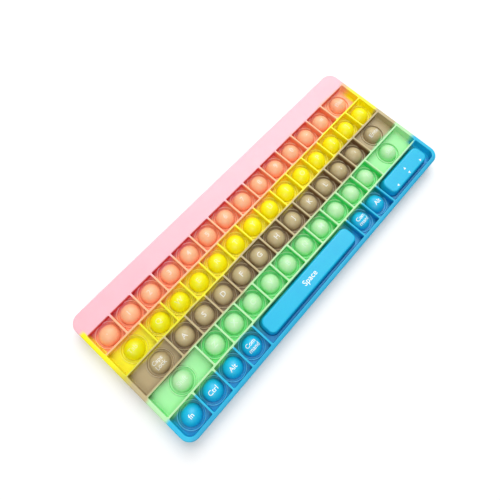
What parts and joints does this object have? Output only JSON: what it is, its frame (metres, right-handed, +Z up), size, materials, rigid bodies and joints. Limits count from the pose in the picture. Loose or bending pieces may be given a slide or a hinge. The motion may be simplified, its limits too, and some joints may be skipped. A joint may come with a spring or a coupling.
{
  "type": "push-bubble fidget keyboard",
  "caption": "Rectangular silicone fidget toy laid out like a computer keyboard, in coloured bands, whose round bubble keys and long flat pads pop down through a thin web.",
  "frame": {"origin": "under the middle of the toy, on the flat it rests on", "axes": "+X along the key rows towards the enter key, +Y towards the plain strip at the back, +Z up out of the keys"},
  "size_m": [0.2744, 0.1104, 0.012],
  "materials": {
    "pink_silicone": "satin moulded silicone",
    "peach_silicone": "satin moulded silicone",
    "yellow_silicone": "satin moulded silicone",
    "khaki_silicone": "satin moulded silicone",
    "green_silicone": "satin moulded silicone",
    "blue_silicone": "satin moulded silicone"
  },
  "bodies": {
    "frame": {"pink_band": "pink_silicone", "peach_band": "peach_silicone", "yellow_band": "yellow_silicone", "khaki_band": "khaki_silicone", "green_band": "green_silicone", "blue_band": "blue_silicone"},
    "key_backtick": {"key_backtick": "peach_silicone"},
    "key_1": {"key_1": "peach_silicone"},
    "key_2": {"key_2": "peach_silicone"},
    "key_3": {"key_3": "peach_silicone"},
    "key_4": {"key_4": "peach_silicone"},
    "key_5": {"key_5": "peach_silicone"},
    "key_6": {"key_6": "peach_silicone"},
    "key_7": {"key_7": "peach_silicone"},
    "key_8": {"key_8": "peach_silicone"},
    "key_9": {"key_9": "peach_silicone"},
    "key_0": {"key_0": "peach_silicone"},
    "keys_minus_equals": {"keys_minus_equals": "peach_silicone"},
    "key_backspace": {"key_backspace": "peach_silicone"},
    "key_tab": {"key_tab": "yellow_silicone"},
    "key_q": {"key_q": "yellow_silicone"},
    "key_w": {"key_w": "yellow_silicone"},
    "key_e": {"key_e": "yellow_silicone"},
    "key_r": {"key_r": "yellow_silicone"},
    "key_t": {"key_t": "yellow_silicone"},
    "key_y": {"key_y": "yellow_silicone"},
    "key_u": {"key_u": "yellow_silicone"},
    "key_i": {"key_i": "yellow_silicone"},
    "key_o": {"key_o": "yellow_silicone"},
    "key_p": {"key_p": "yellow_silicone"},
    "keys_brackets": {"keys_brackets": "yellow_silicone"},
    "key_backslash": {"key_backslash": "yellow_silicone"},
    "key_caps_lock": {"key_caps_lock": "khaki_silicone"},
    "key_a": {"key_a": "khaki_silicone"},
    "key_s": {"key_s": "khaki_silicone"},
    "key_d": {"key_d": "khaki_silicone"},
    "key_f": {"key_f": "khaki_silicone"},
    "key_g": {"key_g": "khaki_silicone"},
    "key_h": {"key_h": "khaki_silicone"},
    "key_j": {"key_j": "khaki_silicone"},
    "key_k": {"key_k": "khaki_silicone"},
    "key_l": {"key_l": "khaki_silicone"},
    "keys_semicolon_quote": {"keys_semicolon_quote": "khaki_silicone"},
    "key_enter": {"key_enter": "khaki_silicone"},
    "keys_shift": {"keys_shift": "green_silicone"},
    "key_z": {"key_z": "green_silicone"},
    "key_x": {"key_x": "green_silicone"},
    "key_c": {"key_c": "green_silicone"},
    "key_v": {"key_v": "green_silicone"},
    "key_b": {"key_b": "green_silicone"},
    "key_n": {"key_n": "green_silicone"},
    "key_m": {"key_m": "green_silicone"},
    "keys_comma_period": {"keys_comma_period": "green_silicone"},
    "key_slash": {"key_slash": "green_silicone"},
    "key_fn": {"key_fn": "blue_silicone"},
    "key_ctrl": {"key_ctrl": "blue_silicone"},
    "keys_alt": {"keys_alt": "blue_silicone"},
    "keys_command": {"keys_command": "blue_silicone"},
    "key_space": {"key_space": "blue_silicone"},
    "key_arrows": {"key_arrows": "blue_silicone"}
  },
  "joints": [
    {"name": "key_backtick_pop", "type": "slide", "parent": "frame", "child": "key_backtick", "axis": [0, 0, -1], "range_m": [0, 0.0111]},
    {"name": "key_1_pop", "type": "slide", "parent": "frame", "child": "key_1", "axis": [0, 0, -1], "range_m": [0, 0.0111]},
    {"name": "key_2_pop", "type": "slide", "parent": "frame", "child": "key_2", "axis": [0, 0, -1], "range_m": [0, 0.0111]},
    {"name": "key_3_pop", "type": "slide", "parent": "frame", "child": "key_3", "axis": [0, 0, -1], "range_m": [0, 0.0111]},
    {"name": "key_4_pop", "type": "slide", "parent": "frame", "child": "key_4", "axis": [0, 0, -1], "range_m": [0, 0.0111]},
    {"name": "key_5_pop", "type": "slide", "parent": "frame", "child": "key_5", "axis": [0, 0, -1], "range_m": [0, 0.0111]},
    {"name": "key_6_pop", "type": "slide", "parent": "frame", "child": "key_6", "axis": [0, 0, -1], "range_m": [0, 0.0111]},
    {"name": "key_7_pop", "type": "slide", "parent": "frame", "child": "key_7", "axis": [0, 0, -1], "range_m": [0, 0.0111]},
    {"name": "key_8_pop", "type": "slide", "parent": "frame", "child": "key_8", "axis": [0, 0, -1], "range_m": [0, 0.0111]},
    {"name": "key_9_pop", "type": "slide", "parent": "frame", "child": "key_9", "axis": [0, 0, -1], "range_m": [0, 0.0111]},
    {"name": "key_0_pop", "type": "slide", "parent": "frame", "child": "key_0", "axis": [0, 0, -1], "range_m": [0, 0.0111]},
    {"name": "keys_minus_equals_pop", "type": "slide", "parent": "frame", "child": "keys_minus_equals", "axis": [0, 0, -1], "range_m": [0, 0.0111]},
    {"name": "key_backspace_pop", "type": "slide", "parent": "frame", "child": "key_backspace", "axis": [0, 0, -1], "range_m": [0, 0.0111]},
    {"name": "key_tab_pop", "type": "slide", "parent": "frame", "child": "key_tab", "axis": [0, 0, -1], "range_m": [0, 0.0111]},
    {"name": "key_q_pop", "type": "slide", "parent": "frame", "child": "key_q", "axis": [0, 0, -1], "range_m": [0, 0.0111]},
    {"name": "key_w_pop", "type": "slide", "parent": "frame", "child": "key_w", "axis": [0, 0, -1], "range_m": [0, 0.0111]},
    {"name": "key_e_pop", "type": "slide", "parent": "frame", "child": "key_e", "axis": [0, 0, -1], "range_m": [0, 0.0111]},
    {"name": "key_r_pop", "type": "slide", "parent": "frame", "child": "key_r", "axis": [0, 0, -1], "range_m": [0, 0.0111]},
    {"name": "key_t_pop", "type": "slide", "parent": "frame", "child": "key_t", "axis": [0, 0, -1], "range_m": [0, 0.0111]},
    {"name": "key_y_pop", "type": "slide", "parent": "frame", "child": "key_y", "axis": [0, 0, -1], "range_m": [0, 0.0111]},
    {"name": "key_u_pop", "type": "slide", "parent": "frame", "child": "key_u", "axis": [0, 0, -1], "range_m": [0, 0.0111]},
    {"name": "key_i_pop", "type": "slide", "parent": "frame", "child": "key_i", "axis": [0, 0, -1], "range_m": [0, 0.0111]},
    {"name": "key_o_pop", "type": "slide", "parent": "frame", "child": "key_o", "axis": [0, 0, -1], "range_m": [0, 0.0111]},
    {"name": "key_p_pop", "type": "slide", "parent": "frame", "child": "key_p", "axis": [0, 0, -1], "range_m": [0, 0.0111]},
    {"name": "keys_brackets_pop", "type": "slide", "parent": "frame", "child": "keys_brackets", "axis": [0, 0, -1], "range_m": [0, 0.0111]},
    {"name": "key_backslash_pop", "type": "slide", "parent": "frame", "child": "key_backslash", "axis": [0, 0, -1], "range_m": [0, 0.0111]},
    {"name": "key_caps_lock_pop", "type": "slide", "parent": "frame", "child": "key_caps_lock", "axis": [0, 0, -1], "range_m": [0, 0.0111]},
    {"name": "key_a_pop", "type": "slide", "parent": "frame", "child": "key_a", "axis": [0, 0, -1], "range_m": [0, 0.0111]},
    {"name": "key_s_pop", "type": "slide", "parent": "frame", "child": "key_s", "axis": [0, 0, -1], "range_m": [0, 0.0111]},
    {"name": "key_d_pop", "type": "slide", "parent": "frame", "child": "key_d", "axis": [0, 0, -1], "range_m": [0, 0.0111]},
    {"name": "key_f_pop", "type": "slide", "parent": "frame", "child": "key_f", "axis": [0, 0, -1], "range_m": [0, 0.0111]},
    {"name": "key_g_pop", "type": "slide", "parent": "frame", "child": "key_g", "axis": [0, 0, -1], "range_m": [0, 0.0111]},
    {"name": "key_h_pop", "type": "slide", "parent": "frame", "child": "key_h", "axis": [0, 0, -1], "range_m": [0, 0.0111]},
    {"name": "key_j_pop", "type": "slide", "parent": "frame", "child": "key_j", "axis": [0, 0, -1], "range_m": [0, 0.0111]},
    {"name": "key_k_pop", "type": "slide", "parent": "frame", "child": "key_k", "axis": [0, 0, -1], "range_m": [0, 0.0111]},
    {"name": "key_l_pop", "type": "slide", "parent": "frame", "child": "key_l", "axis": [0, 0, -1], "range_m": [0, 0.0111]},
    {"name": "keys_semicolon_quote_pop", "type": "slide", "parent": "frame", "child": "keys_semicolon_quote", "axis": [0, 0, -1], "range_m": [0, 0.0111]},
    {"name": "key_enter_pop", "type": "slide", "parent": "frame", "child": "key_enter", "axis": [0, 0, -1], "range_m": [0, 0.0111]},
    {"name": "keys_shift_pop", "type": "slide", "parent": "frame", "child": "keys_shift", "axis": [0, 0, -1], "range_m": [0, 0.0111]},
    {"name": "key_z_pop", "type": "slide", "parent": "frame", "child": "key_z", "axis": [0, 0, -1], "range_m": [0, 0.0111]},
    {"name": "key_x_pop", "type": "slide", "parent": "frame", "child": "key_x", "axis": [0, 0, -1], "range_m": [0, 0.0111]},
    {"name": "key_c_pop", "type": "slide", "parent": "frame", "child": "key_c", "axis": [0, 0, -1], "range_m": [0, 0.0111]},
    {"name": "key_v_pop", "type": "slide", "parent": "frame", "child": "key_v", "axis": [0, 0, -1], "range_m": [0, 0.0111]},
    {"name": "key_b_pop", "type": "slide", "parent": "frame", "child": "key_b", "axis": [0, 0, -1], "range_m": [0, 0.0111]},
    {"name": "key_n_pop", "type": "slide", "parent": "frame", "child": "key_n", "axis": [0, 0, -1], "range_m": [0, 0.0111]},
    {"name": "key_m_pop", "type": "slide", "parent": "frame", "child": "key_m", "axis": [0, 0, -1], "range_m": [0, 0.0111]},
    {"name": "keys_comma_period_pop", "type": "slide", "parent": "frame", "child": "keys_comma_period", "axis": [0, 0, -1], "range_m": [0, 0.0111]},
    {"name": "key_slash_pop", "type": "slide", "parent": "frame", "child": "key_slash", "axis": [0, 0, -1], "range_m": [0, 0.0111]},
    {"name": "key_fn_pop", "type": "slide", "parent": "frame", "child": "key_fn", "axis": [0, 0, -1], "range_m": [0, 0.0111]},
    {"name": "key_ctrl_pop", "type": "slide", "parent": "frame", "child": "key_ctrl", "axis": [0, 0, -1], "range_m": [0, 0.0111]},
    {"name": "keys_alt_pop", "type": "slide", "parent": "frame", "child": "keys_alt", "axis": [0, 0, -1], "range_m": [0, 0.0111]},
    {"name": "keys_command_pop", "type": "slide", "parent": "frame", "child": "keys_command", "axis": [0, 0, -1], "range_m": [0, 0.0111]},
    {"name": "key_space_pop", "type": "slide", "parent": "frame", "child": "key_space", "axis": [0, 0, -1], "range_m": [0, 0.0111]},
    {"name": "key_arrows_pop", "type": "slide", "parent": "frame", "child": "key_arrows", "axis": [0, 0, -1], "range_m": [0, 0.0111]}
  ]
}
